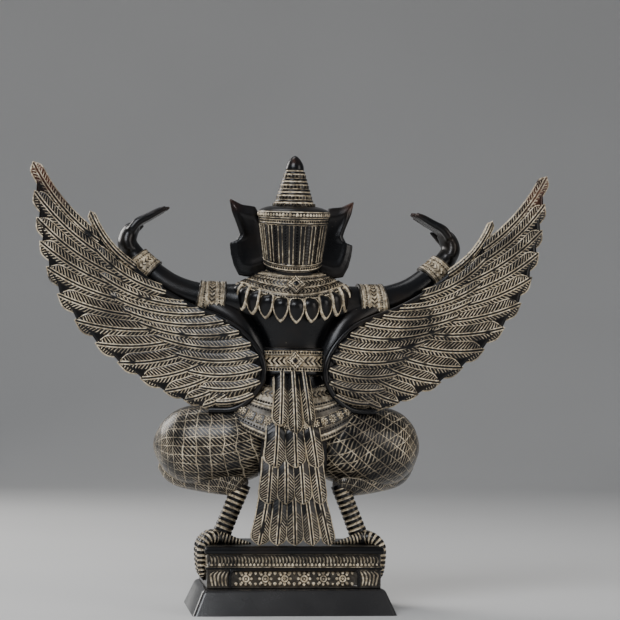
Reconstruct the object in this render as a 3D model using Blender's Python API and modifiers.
"""Garuda statue: a cast figure squatting on a carved seat, wings and arms raised, on a loose plinth.

Metres, +Z up. The figure faces -Y, so its back is towards +Y and its own left side is at +X.
The origin is the centre of the plinth's underside.
"""

import math

import bmesh
import bpy
from mathutils import Matrix, Vector

# Driving dimensions, in metres
PLINTH_HEIGHT = 0.0220
PLINTH_LEDGE = 0.0010
PLINTH_SPREAD = 0.0095
PLINTH_EDGE = 0.0028
GAP = 0.0003

SEAT_WIDTH = 0.1550
SEAT_DEPTH = 0.0960
SEAT_HEIGHT = 0.0360
FRIEZE_PITCH = 0.0135
FLOWER_COUNT = 6
FLOWER_RADIUS = 0.0062
PANEL_DEPTH = 0.0022

FIGURE_HEIGHT = 0.3417
FIGURE_UNITS = 341.7
SEAT_LEVEL = 58.3

# The figure's proportions are written in units: one unit is the figure's height over FIGURE_UNITS,
# and heights are counted from the ground, with the seat's top at SEAT_LEVEL.
UNIT = FIGURE_HEIGHT / FIGURE_UNITS
SEAT_BASE = PLINTH_HEIGHT + GAP
SEAT_TOP = SEAT_BASE + SEAT_HEIGHT

WELD = 0.000001
FACET_TARGET = 9850
CRUMB = 12
RIDGE_LEAN = 0.35
FRONT_SHARE = 0.65
PRIMARIES = 13
COVERTS = 11
CROWN_FLUTES = 14
PETALS = 24
SHIN_RINGS = 7


def fig(x, y, z):
    """A point of the figure, from units to metres."""
    return Vector((x * UNIT, y * UNIT, SEAT_TOP + (z - SEAT_LEVEL) * UNIT))


def clear_scene():
    for item in list(bpy.data.objects):
        bpy.data.objects.remove(item, do_unlink=True)


def new_collection(name):
    group = bpy.data.collections.new(name)
    bpy.context.scene.collection.children.link(group)
    return group


def finish_material(name, colour, roughness, metallic):
    material = bpy.data.materials.new(name)
    material.use_nodes = True
    shader = material.node_tree.nodes["Principled BSDF"]
    shader.inputs["Base Color"].default_value = (*colour, 1.0)
    shader.inputs["Roughness"].default_value = roughness
    shader.inputs["Metallic"].default_value = metallic
    return material


def mesh_object(name, shape):
    """An object in the working collection from a bmesh, its faces turned outwards."""
    bmesh.ops.recalc_face_normals(shape, faces=shape.faces[:])
    mesh = bpy.data.meshes.new(name)
    shape.to_mesh(mesh)
    shape.free()
    item = bpy.data.objects.new(name, mesh)
    working.objects.link(item)
    return item


def through(points, u):
    """The point at share u of a smooth curve through the listed points, of any dimension."""
    spans = len(points) - 1
    place = min(max(u, 0.0), 1.0) * spans
    i = min(int(place), spans - 1)
    t = place - i
    p1, p2 = points[i], points[i + 1]
    p0 = points[i - 1] if i > 0 else [2 * a - b for a, b in zip(p1, p2)]
    p3 = points[i + 2] if i + 2 <= spans else [2 * b - a for a, b in zip(p1, p2)]
    return [
        0.5 * (2 * b + (c - a) * t + (2 * a - 5 * b + 4 * c - d) * t * t + (3 * b - a - 3 * c + d) * t ** 3)
        for a, b, c, d in zip(p0, p1, p2, p3)
    ]


def lerp(a, b, t):
    return [p + (q - p) * t for p, q in zip(a, b)]


def mirrored(item, name):
    """The twin of a piece on the figure's other side."""
    shape = bmesh.new()
    shape.from_mesh(item.data)
    bmesh.ops.scale(shape, vec=(-1.0, 1.0, 1.0), verts=shape.verts[:])
    return mesh_object(name, shape)


def tube(name, stations, resolution=3):
    """A round limb through stations (x, y, z, radius) in metres, as a bevelled curve with caps."""
    curve = bpy.data.curves.new(name, "CURVE")
    curve.dimensions = "3D"
    curve.fill_mode = "FULL"
    curve.bevel_depth = 1.0
    curve.bevel_resolution = resolution
    curve.use_fill_caps = True
    spline = curve.splines.new("POLY")
    spline.points.add(len(stations) - 1)
    for point, (x, y, z, radius) in zip(spline.points, stations):
        point.co = (x, y, z, 1.0)
        point.radius = radius
    holder = bpy.data.objects.new(name, curve)
    working.objects.link(holder)
    bpy.context.view_layer.update()
    solid = holder.evaluated_get(bpy.context.evaluated_depsgraph_get())
    mesh = bpy.data.meshes.new_from_object(solid)
    bpy.data.objects.remove(holder, do_unlink=True)
    shape = bmesh.new()
    shape.from_mesh(mesh)
    bmesh.ops.remove_doubles(shape, verts=shape.verts[:], dist=WELD)
    return mesh_object(name, shape)


def limb(name, knots, steps, resolution=3, depth=1.0, depth_centre=0.0):
    """A limb through knots in units; depth stretches its section along Y about depth_centre."""
    stations = []
    for i in range(steps + 1):
        x, y, z, radius = through(knots, i / steps)
        place = fig(x, depth_centre + (y - depth_centre) / depth, z)
        stations.append((*place, max(radius, 0.3) * UNIT))
    item = tube(name, stations, resolution)
    if depth != 1.0:
        centre = depth_centre * UNIT
        for vertex in item.data.vertices:
            vertex.co.y = centre + (vertex.co.y - centre) * depth
    return item


def loft(name, rings):
    """A closed solid through rings of the same number of points."""
    shape = bmesh.new()
    rows = [[shape.verts.new(point) for point in ring] for ring in rings]
    count = len(rows[0])
    for low, high in zip(rows, rows[1:]):
        for i in range(count):
            j = (i + 1) % count
            shape.faces.new((low[i], low[j], high[j], high[i]))
    shape.faces.new(rows[0])
    shape.faces.new(rows[-1])
    return mesh_object(name, shape)


def oval(z, half_width, half_depth, centre_y=0.0, sides=24, dip=0.0):
    """A level oval in units; dip lowers its back and front against its sides."""
    ring = []
    for i in range(sides):
        angle = 2 * math.pi * (i + 0.5) / sides
        drop = dip * math.sin(angle) ** 2
        ring.append(fig(half_width * math.cos(angle), centre_y + half_depth * math.sin(angle), z - drop))
    return ring


def turned(name, profile, sides):
    """A turned solid from a profile of (radius, height) in metres, listed from the top down."""
    mesh = bpy.data.meshes.new(name)
    points = [(radius, 0.0, height) for radius, height in profile]
    mesh.from_pydata(points, [(i, i + 1) for i in range(len(points) - 1)], [])
    holder = bpy.data.objects.new(name, mesh)
    working.objects.link(holder)
    screw = holder.modifiers.new("turn", "SCREW")
    screw.steps = sides
    screw.render_steps = sides
    screw.use_merge_vertices = True
    screw.merge_threshold = 0.00001
    bpy.context.view_layer.update()
    solid = holder.evaluated_get(bpy.context.evaluated_depsgraph_get())
    result = bpy.data.meshes.new_from_object(solid)
    bpy.data.objects.remove(holder, do_unlink=True)
    shape = bmesh.new()
    shape.from_mesh(result)
    bmesh.ops.remove_doubles(shape, verts=shape.verts[:], dist=WELD)
    return mesh_object(name, shape)


def ball(name, centre, half_sizes, segments=12, rings=8):
    shape = bmesh.new()
    bmesh.ops.create_uvsphere(shape, u_segments=segments, v_segments=rings, radius=1.0)
    scale = Matrix.Diagonal((*(size * UNIT for size in half_sizes), 1.0))
    bmesh.ops.transform(shape, matrix=Matrix.Translation(fig(*centre)) @ scale, verts=shape.verts[:])
    return mesh_object(name, shape)


def feather_tier(name, roots, tips, count, rows, place, bulge, notch, body, ridge, taper, square):
    """One tier of overlapping feathers as a closed slab.

    Columns alternate between the valleys and the raised midribs. Each runs from the roots' curve
    to the tips' curve, bowed by bulge of its length; notch is how far the valleys stop short.
    body and ridge are the slab's half thickness and what the midribs add, and taper thins its end.
    A square tier gives its outermost feathers their full width.
    place(a, b, h) puts a point of the flat drawing, h off its middle, on the real surface.
    """
    columns = 2 * count
    ends = []
    for j in range(columns + 1):
        root = through(roots, (j + (RIDGE_LEAN if j % 2 else 0.0)) / columns)
        if j % 2:
            end = through(tips, (j // 2) / max(count - 1, 1))
        elif j in (0, columns) and square:
            last = 0.0 if j == 0 else 1.0
            inner = through(tips, abs(last - 1 / (count - 1)))
            end = lerp(inner, through(tips, last), 1.5)
            end = lerp(end, root, notch / math.dist(root, end))
        elif j in (0, columns):
            end = lerp(through(tips, 0.0 if j == 0 else 1.0), root, 0.05)
        else:
            low = through(tips, (j // 2 - 1) / (count - 1))
            high = through(tips, (j // 2) / (count - 1))
            end = lerp(low, high, 0.22)
            reach = math.dist(root, end)
            end = lerp(end, root, notch / reach)
        ends.append((root, end))
    shape = bmesh.new()
    sides = []
    for sign in (1.0, -FRONT_SHARE):
        grid = []
        for j, (root, end) in enumerate(ends):
            across = (end[1] - root[1], root[0] - end[0])
            middle = [0.5 * (root[k] + end[k]) + bulge * across[k] for k in range(2)]
            column = []
            for i in range(rows + 1):
                t = i / rows
                flat = lerp(lerp(root, middle, t), lerp(middle, end, t), t)
                half = body * (1.0 - taper * t ** 3) + (ridge * (1.0 - 0.6 * t) if j % 2 else 0.0)
                column.append(shape.verts.new(place(flat[0], flat[1], sign * half)))
            grid.append(column)
        sides.append(grid)
    back, front = sides
    for grid in sides:
        for left, right in zip(grid, grid[1:]):
            for i in range(rows):
                shape.faces.new((left[i], left[i + 1], right[i + 1], right[i]))
    border = [(j, 0) for j in range(columns)] + [(columns, i) for i in range(rows)]
    border += [(j, rows) for j in range(columns, 0, -1)] + [(0, i) for i in range(rows, 0, -1)]
    for (j, i), (k, m) in zip(border, border[1:] + border[:1]):
        shape.faces.new((back[j][i], back[k][m], front[k][m], front[j][i]))
    return mesh_object(name, shape)


# The torso, head and face

def torso():
    levels = [
        (113, 22, 22, 2), (124, 38, 32, 2), (144, 45, 37, 2), (180, 43, 35, 1), (205, 34, 27, 0),
        (230, 33, 25, 0), (256, 42, 29, 0), (272, 44, 28, 0), (285, 36, 22, 0), (302, 20, 17, 0),
    ]
    return [loft("torso", [oval(z, wide, deep, y, 16) for z, wide, deep, y in levels])]


def head():
    pieces = [ball("skull", (0, -13, 313), (24, 25, 28), 12, 8)]
    beak = [(0, -30, 314, 9.5), (0, -41, 314, 7.2), (0, -50, 307, 4.2), (0, -53, 298, 1.2)]
    jaw = [(0, -26, 298, 8.5), (0, -36, 295, 6.0), (0, -44, 294, 2.0)]
    pieces.append(limb("beak", beak, 5, 2))
    pieces.append(limb("jaw", jaw, 3, 1))
    for side in (1, -1):
        brow = [(side * 3, -37, 324, 2.2), (side * 11, -36, 328, 3.2), (side * 19, -27, 326, 1.6)]
        pieces.append(limb("brow", brow, 4, 1))
        pieces.append(ball("eye", (side * 10.5, -33, 320), (5.2, 4.5, 4.2), 7, 5))
        pieces.append(ball("cheek", (side * 15, -25, 304), (7, 8, 8), 7, 5))
    return pieces


def ear():
    """A pointed, notched fin beside the crown, thick at the head and thin at its edge."""
    outline = [
        (20, 298), (38, 292.5), (47, 294), (51.7, 303), (54.4, 313), (55.6, 323), (49.5, 325.0),
        (46.5, 331), (48.5, 337), (54.0, 351), (56.5, 363), (45, 357.5), (33, 356), (25, 340),
    ]
    centre = (34, 328)
    rings = []
    for share, offset in ((1.0, 1.0), (0.72, 3.6)):
        rings.append([lerp(centre, point, share) + [offset] for point in outline])
    front = [[fig(x, -6 - h, z) for x, z, h in ring] for ring in rings]
    back = [[fig(x, -6 + h, z) for x, z, h in ring] for ring in reversed(rings)]
    return [loft("ear", back + front)]


# The crown, leaning back a little

CROWN_TILT = math.radians(6)
CROWN_DIP = math.radians(16)
CROWN_FOOT = (0, 2, 297)
DRUM_HEIGHT = 54.0


def crown_radius(height):
    """The drum's radius in units at a height above the crown's foot."""
    return 24.6 + 6.6 * (height / 45.0) ** 1.1


def lean(item):
    """Tilts a piece of the crown; the drum's foot dips at the nape and rises over the brow."""
    for vertex in item.data.vertices:
        low = 1.0 - min(vertex.co.z / (DRUM_HEIGHT * UNIT), 1.0)
        vertex.co.z -= vertex.co.y * math.tan(CROWN_DIP) * low
    foot = fig(*CROWN_FOOT)
    turn = Matrix.Translation(foot) @ Matrix.Rotation(-CROWN_TILT, 4, "X")
    item.data.transform(turn)
    return item


def crown():
    profile = [(0.0, 103.5), (4.6, 99.6), (7.8, 95), (8.3, 92.5), (7.2, 90.0)]
    top, foot = 89.5, 59.0
    rings = 5
    step = (top - foot) / rings
    for i in range(rings):
        low = 8.6 + 8.6 * (i + 1) / rings
        height = top - step * i
        profile += [(low - 2.4, height), (low, height - 0.75 * step)]
    profile += [(17.2, 58.5), (30.3, 56.0), (31.9, DRUM_HEIGHT), (31.9, 48.5), (30.7, 47.5), (31.2, 44.5)]
    profile += [(crown_radius(42), 42.5), (crown_radius(12), 12), (26.0, 11.3), (26.0, 6.7)]
    profile += [(23.2, 5.8), (23.4, 0.6), (21.0, -1.5), (0.0, -1.5)]
    body = turned("crown", [(radius * UNIT, height * UNIT) for radius, height in profile], 20)
    pieces = [lean(body)]
    for i in range(CROWN_FLUTES):
        angle = 2 * math.pi * (i + 0.5) / CROWN_FLUTES
        stations = []
        for height in (11.6, 43):
            radius = crown_radius(height) * UNIT
            stations.append((radius * math.cos(angle), radius * math.sin(angle), height * UNIT, 1.8 * UNIT))
        pieces.append(lean(tube("flute", stations, 0)))
    return pieces


# The collar, arms, bands and hands

def collar():
    rings = [
        oval(299, 22, 19, 0, 20, 0), oval(293.5, 34, 27, 0, 20, 5), oval(291.5, 35, 27, 0, 20, 6),
        oval(287.5, 46, 32, 0, 20, 12), oval(286, 50, 33.5, 0, 20, 15), oval(281, 48, 31, 0, 20, 14),
        oval(284, 28, 19, 0, 20, 6),
    ]
    pieces = [loft("collar", rings)]
    for i in range(PETALS):
        angle = 2 * math.pi * i / PETALS
        side, back = math.cos(angle), math.sin(angle)
        drop = 15 * back * back
        knots = [
            (46 * side, 31 * back, 288 - drop, 5.4), (52 * side, 34.5 * back, 280 - drop, 6.8),
            (52 * side, 33.0 * back, 264.5 - drop, 0.5),
        ]
        pieces.append(limb("petal", knots, 2, 0))
    return pieces


ARM = [
    (24, 0, 266, 19), (45, 0, 269, 17.5), (60, 0, 271, 15), (84, -1, 273, 13.8), (106, -3, 281, 12.6),
    (124, -6, 294, 11.4), (138, -8, 308, 9.6), (147, -10, 321, 8.4),
]


def band(name, start, end, proud, ribs):
    """A ring round the arm between two shares of its length, with raised ribs at its edges."""
    knots = []
    for i in range(2 * ribs + 2):
        share = start + (end - start) * i / (2 * ribs + 1)
        x, y, z, radius = through(ARM, share)
        knots.append((x, y, z, radius + (proud if (i + 1) // 2 % 2 == 0 else 0.5 * proud)))
    stations = [(*fig(x, y, z), radius * UNIT) for x, y, z, radius in knots]
    return tube(name, stations, 3)


def hand():
    """A cupped hand, its four fingers side by side in depth and its thumb in front."""
    palm = [(144, -10, 314, 8.0), (146.5, -11, 322, 8.2), (143.5, -13, 331, 7.8), (138, -15, 337, 5.0)]
    pieces = [limb("palm", palm, 3, 2, 1.55, -11)]
    for i in range(4):
        y = -1.5 - 6.2 * i
        reach = (0.90, 1.0, 0.97, 0.86)[i]
        path = [
            (143.5, y, 331, 4.0), (137.5, y, 339, 3.9), (128.5, y - 1, 344, 3.5), (118, y - 2, 350, 3.0),
            (108.5, y - 2, 353.6, 1.3),
        ]
        knots = [through(path, reach * k / 4) for k in range(5)]
        pieces.append(limb("finger", knots, 4, 1))
    thumb = [(145, -19, 318, 5.0), (144, -27, 327, 4.2), (138, -30, 334, 3.4), (131, -30, 339, 1.4)]
    pieces.append(limb("thumb", thumb, 4, 1))
    return pieces


def arm():
    pieces = [limb("arm", ARM, 9, 3)]
    pieces.append(band("armband", 0.285, 0.43, 2.4, 2))
    pieces.append(band("wristband", 0.71, 0.86, 2.2, 2))
    return pieces + hand()


# The belt, skirt, thighs and feet

def belt():
    rings = [
        oval(229.5, 33.5, 26, 0, 18), oval(228, 36.5, 29, 0, 18), oval(223.5, 36.5, 29, 0, 18),
        oval(222.5, 35.2, 28, 0, 18), oval(213.5, 35.8, 28.6, 0, 18), oval(212.5, 37.2, 30, 0, 18),
        oval(207, 37.6, 30.4, 0, 18), oval(205, 34, 28, 0, 18),
    ]
    pieces = [loft("belt", rings)]
    for side in (1, -1):
        stone = [(0, side * 24, 218, 9.5), (0, side * 29, 218, 9.5), (0, side * 32.6, 218, 3.0)]
        pieces.append(limb("clasp", stone, 2, 0))
    return pieces


def skirt():
    rings = [
        oval(201, 34, 26, 0, 18, 3), oval(196.5, 43, 34, 0, 18, 6), oval(190, 53, 38.5, 0, 18, 14),
        oval(188, 52, 37.5, 0, 18, 14.5), oval(178, 65, 41.5, 0, 18, 26), oval(174, 66.5, 42, 0, 18, 29),
        oval(172, 65, 40.5, 0, 18, 29), oval(178, 44, 32, 0, 18, 24),
    ]
    return [loft("skirt", rings)]


def leg():
    thigh = [
        (22, 2, 152, 27), (42, 0, 147, 35), (62, -4, 144, 36.5), (82, -9, 143, 36), (98, -14, 143, 31.5),
        (110, -17, 143, 22), (117, -18, 143, 11), (119.5, -18, 143, 2.5),
    ]
    calf = [
        (108, -24, 131, 12), (96, -19, 124, 17.5), (78, -9, 120, 18), (60, 3, 115.5, 16), (48, 10, 110, 12),
        (42, 13, 106, 7.5),
    ]
    pieces = [limb("thigh", thigh, 9, 4), limb("calf", calf, 5, 2)]
    foot_x = SEAT_WIDTH / 2
    start = Vector((*fig(43, 12, 110), 8.0 * UNIT))
    ankle = Vector((foot_x - 15 * UNIT, 12 * UNIT, SEAT_TOP + 3 * UNIT, 8.0 * UNIT))
    stations = []
    turns = 2 * SHIN_RINGS
    for i in range(turns + 1):
        place = start.lerp(ankle, i / turns)
        place.w += (0.6 if i % 2 else -0.7) * UNIT
        stations.append(place)
    pieces.append(tube("shin", stations, 1))
    drop = 0.86 * SEAT_HEIGHT
    for spread in (-17, -1, 15):
        knots = [
            (foot_x - 17 * UNIT, (12 + 0.3 * spread) * UNIT, SEAT_TOP + 3.7 * UNIT, 7.1 * UNIT),
            (foot_x - 7 * UNIT, (10 + 0.8 * spread) * UNIT, SEAT_TOP + 5.0 * UNIT, 5.4 * UNIT),
            (foot_x + 0.2 * UNIT, (10 + spread) * UNIT, SEAT_TOP - 1.5 * UNIT, 4.6 * UNIT),
            (foot_x + 1.3 * UNIT, (10 + spread) * UNIT, SEAT_TOP - 0.45 * drop, 3.8 * UNIT),
            (foot_x + 0.4 * UNIT, (10 + spread) * UNIT, SEAT_TOP - 0.82 * drop, 2.8 * UNIT),
            (foot_x - 1.4 * UNIT, (10 + spread) * UNIT, SEAT_TOP - drop, 0.9 * UNIT),
        ]
        stations = [through(knots, k / 6) for k in range(7)]
        pieces.append(tube("toe", stations, 1))
    return pieces


# The feathers

def wing_depth(x):
    """How far behind the figure's middle the wing's middle lies, in units."""
    inward = max(0.0, 1.0 - (abs(x) - 27) / 123)
    return 11 + 16 * inward ** 2


def on_wing(x, z, h):
    return fig(x, wing_depth(x) + h, z)


RIM = [
    (73, 174), (53, 175), (38.5, 184), (28.5, 199.5), (28, 216), (36, 232), (50, 246.5), (68, 256),
    (90, 264.5), (112, 276), (134, 291), (152, 309),
]
COVERT_TIPS = [(70, 181), (88, 200), (106, 222), (128, 243), (148, 258), (165, 277), (176, 305), (179.5, 346.5)]
WING_EDGE = [
    (80, 177), (108, 187.5), (142.5, 206.5), (176, 233.5), (205, 270), (220.5, 310), (227, 346),
    (232, 389),
]


def wing():
    covert_roots = [(39, 182), (29, 199), (28.5, 217), (37, 233), (55, 248.5), (80, 260), (106, 272), (146, 303)]
    primary_roots = [lerp(root, tip, 0.55) for root, tip in zip(covert_roots, COVERT_TIPS)]
    primary_roots[-1] = (176, 326)
    pieces = [
        feather_tier("primaries", primary_roots, WING_EDGE, PRIMARIES, 4, on_wing, 0.13, 5.5, 1.9, 1.6, 0.45, False),
        feather_tier("coverts", covert_roots, COVERT_TIPS, COVERTS, 4, on_wing, 0.17, 6, 4.0, 1.6, 0.12, False),
    ]
    cord = []
    for i in range(15):
        x, z = through(RIM, i / 14)
        cord.append((*on_wing(x, z, 0.6), (3.9 - 0.9 * (i / 14)) * UNIT))
    pieces.append(tube("rim", cord, 1))
    root = [(24, 6, 196, 11), (34, 9, 222, 14), (48, 8, 250, 13), (74, 3, 266, 11)]
    pieces.append(limb("wing_root", root, 4, 2))
    return pieces


TAIL_SPINE = [(207, 23.5), (184, 33.5), (160, 39), (125, 42), (90, 43.0), (58, 43)]


def on_tail(x, z, h):
    for (top, first), (low, last) in zip(TAIL_SPINE, TAIL_SPINE[1:]):
        if z >= low:
            break
    depth = first + (last - first) * (top - z) / (top - low)
    return fig(x, depth - 0.004 * x * x + h, z)


def tail():
    tiers = [
        (3, 210, 154, 14, 13, 7.7), (3, 172, 125, 20, 18.5, 5.9), (4, 142, 94, 24, 23, 4.1),
        (5, 108, 58.6, 26, 31, 2.3),
    ]
    pieces = []
    for i, (count, top, tip, wide_top, wide_tip, body) in enumerate(tiers):
        stray = 0.37 * (-1) ** i
        roots = [(stray - wide_top, top), (stray + wide_top, top)]
        rise = 6 if i == 0 else 0
        tips = [(stray - wide_tip, tip + rise), (stray, tip), (stray + wide_tip, tip + rise)]
        pieces.append(feather_tier("tail", roots, tips, count, 3, on_tail, 0.0, 6, body, 1.6, 0.1, True))
    return pieces


def apron():
    """A plain folded panel of cloth at the front, from the belt to between the feet."""

    def on_front(x, z, h):
        return fig(x, -38 - 0.02 * (207 - z) + 0.004 * x * x - h, z)

    roots = [(-13, 209), (13, 209)]
    tips = [(-11, 88), (0, 76), (11, 88)]
    return [feather_tier("apron", roots, tips, 3, 3, on_front, 0.0, 6, 4.0, 1.6, 0.45, True)]


# The carved seat and its plinth

def seat():
    half_width, half_depth = SEAT_WIDTH / 2, SEAT_DEPTH / 2
    slab_inset = 0.0
    panel_inset = 0.0022
    frieze_inset = 0.0026
    levels = [
        (0.00, panel_inset), (0.43, panel_inset), (0.44, 0.0008), (0.50, 0.0008), (0.51, frieze_inset),
        (0.80, frieze_inset), (0.82, slab_inset), (0.94, slab_inset), (1.0, 0.0035),
    ]
    rings = []
    for share, inset in levels:
        x, y, z = half_width - inset, half_depth - inset, SEAT_BASE + share * SEAT_HEIGHT
        rings.append([Vector(corner) for corner in ((x, y, z), (-x, y, z), (-x, -y, z), (x, -y, z))])
    pieces = [loft("seat", rings)]
    panel_low, panel_high = 0.05, 0.40
    panel_width = 0.69 * SEAT_WIDTH
    middle = SEAT_BASE + 0.5 * (panel_low + panel_high) * SEAT_HEIGHT
    for side in (1, -1):
        face = side * (half_depth - panel_inset)
        shape = bmesh.new()
        bmesh.ops.create_cube(shape, size=1.0)
        size = (panel_width, 2 * PANEL_DEPTH, (panel_high - panel_low) * SEAT_HEIGHT)
        place = Matrix.Translation((0, face, middle)) @ Matrix.Diagonal((*size, 1.0))
        bmesh.ops.transform(shape, matrix=place, verts=shape.verts[:])
        cutters.append(mesh_object("panel_cutter", shape))
        for i in range(FLOWER_COUNT):
            x = panel_width * ((i + 0.5) / FLOWER_COUNT - 0.5) * 0.94
            shape = bmesh.new()
            bmesh.ops.create_cone(shape, cap_ends=True, segments=7, radius1=FLOWER_RADIUS,
                                  radius2=0.6 * FLOWER_RADIUS, depth=2 * PANEL_DEPTH)
            turn = Matrix.Rotation(-side * math.pi / 2, 4, "X")
            place = Matrix.Translation((x, face - side * 0.6 * PANEL_DEPTH, middle))
            bmesh.ops.transform(shape, matrix=place @ turn, verts=shape.verts[:])
            flowers.append(mesh_object("flower", shape))
    leaf_z = SEAT_BASE + 0.655 * SEAT_HEIGHT
    leaf_half = 0.5 * 0.24 * SEAT_HEIGHT
    for length, reach, turn in (
        (SEAT_WIDTH, half_depth, 0), (SEAT_DEPTH, half_width, 1), (SEAT_WIDTH, half_depth, 2),
        (SEAT_DEPTH, half_width, 3),
    ):
        count = round((length - 0.012) / FRIEZE_PITCH)
        for i in range(count):
            along = (length - 0.012) * ((i + 0.5) / count - 0.5)
            shape = bmesh.new()
            bmesh.ops.create_cone(shape, cap_ends=True, segments=4, radius1=1.0, radius2=0.25, depth=1.0)
            size = Matrix.Diagonal((0.44 * FRIEZE_PITCH, leaf_half, 0.0030, 1.0))
            upright = Matrix.Rotation(-math.pi / 2, 4, "X")
            place = Matrix.Translation((along, reach - frieze_inset + 0.0009, leaf_z))
            spin = Matrix.Rotation(turn * math.pi / 2, 4, "Z")
            bmesh.ops.transform(shape, matrix=spin @ place @ upright @ size, verts=shape.verts[:])
            pieces.append(mesh_object("leaf", shape))
    return pieces


def plinth(collection, material):
    """The plain black block under the seat: a low frustum with rounded edges."""
    shape = bmesh.new()
    bmesh.ops.create_cube(shape, size=1.0)
    for vertex in shape.verts:
        spread = PLINTH_SPREAD if vertex.co.z < 0 else 0.0
        vertex.co.x *= SEAT_WIDTH + 2 * (PLINTH_LEDGE + spread)
        vertex.co.y *= SEAT_DEPTH + 2 * (PLINTH_LEDGE + spread)
        vertex.co.z = 0.0 if vertex.co.z < 0 else PLINTH_HEIGHT
    upper = [edge for edge in shape.edges if max(vertex.co.z for vertex in edge.verts) > 0.5 * PLINTH_HEIGHT]
    bmesh.ops.bevel(shape, geom=upper, offset=PLINTH_EDGE, segments=3, profile=0.5, affect="EDGES")
    item = mesh_object("plinth", shape)
    working.objects.unlink(item)
    collection.objects.link(item)
    item.data.materials.append(material)
    return item


def combine(base, others, operation):
    """The exact union or difference of base with every piece in others, as a plain mesh."""
    group = bpy.data.collections.new("operands")
    bpy.context.scene.collection.children.link(group)
    for piece in others:
        group.objects.link(piece)
    step = base.modifiers.new("join", "BOOLEAN")
    step.operand_type = "COLLECTION"
    step.collection = group
    step.operation = operation
    step.solver = "EXACT"
    bpy.context.view_layer.update()
    result = bpy.data.meshes.new_from_object(base.evaluated_get(bpy.context.evaluated_depsgraph_get()))
    for piece in others + [base]:
        bpy.data.objects.remove(piece, do_unlink=True)
    bpy.data.collections.remove(group)
    item = bpy.data.objects.new("joined", result)
    working.objects.link(item)
    return item


def tidy(item):
    """Triangles only, thinned to the facets that the form needs, which takes the slivers away."""
    shape = bmesh.new()
    shape.from_mesh(item.data)
    bmesh.ops.triangulate(shape, faces=shape.faces[:])
    shape.to_mesh(item.data)
    count = len(shape.faces)
    shape.free()
    thin = item.modifiers.new("thin", "DECIMATE")
    thin.ratio = min(1.0, FACET_TARGET / count)
    thin.use_collapse_triangulate = True
    bpy.context.view_layer.update()
    result = bpy.data.meshes.new_from_object(item.evaluated_get(bpy.context.evaluated_depsgraph_get()))
    item.modifiers.clear()
    shape = bmesh.new()
    shape.from_mesh(result)
    seen = set()
    for first in shape.verts[:]:
        if first in seen:
            continue
        island, waiting = {first}, [first]
        while waiting:
            for edge in waiting.pop().link_edges:
                for vertex in edge.verts:
                    if vertex not in island:
                        island.add(vertex)
                        waiting.append(vertex)
        seen |= island
        if len(island) < CRUMB:
            bmesh.ops.delete(shape, geom=list(island), context="VERTS")
    shape.to_mesh(result)
    shape.free()
    item.data = result


def build():
    statue = new_collection("garuda statue")
    black = finish_material("black patina", (0.012, 0.012, 0.014), 0.32, 0.55)
    base_black = finish_material("plinth black", (0.010, 0.010, 0.012), 0.30, 0.45)
    sides = []
    for maker in (arm, ear, leg, wing):
        for piece in maker():
            sides.append(piece)
            sides.append(mirrored(piece, piece.name))
    middle = torso() + head() + crown() + collar() + belt() + skirt() + tail() + apron()
    seat_pieces = seat()
    block = combine(seat_pieces[0], cutters, "DIFFERENCE")
    figure = combine(block, seat_pieces[1:] + flowers + middle + sides, "UNION")
    tidy(figure)
    figure.name = "garuda_figure"
    figure.data.name = "garuda_figure"
    working.objects.unlink(figure)
    statue.objects.link(figure)
    figure.data.materials.clear()
    figure.data.materials.append(black)
    plinth(statue, base_black)


clear_scene()
working = new_collection("working")
cutters = []
flowers = []
build()
bpy.context.scene.collection.children.unlink(working)
bpy.data.collections.remove(working)
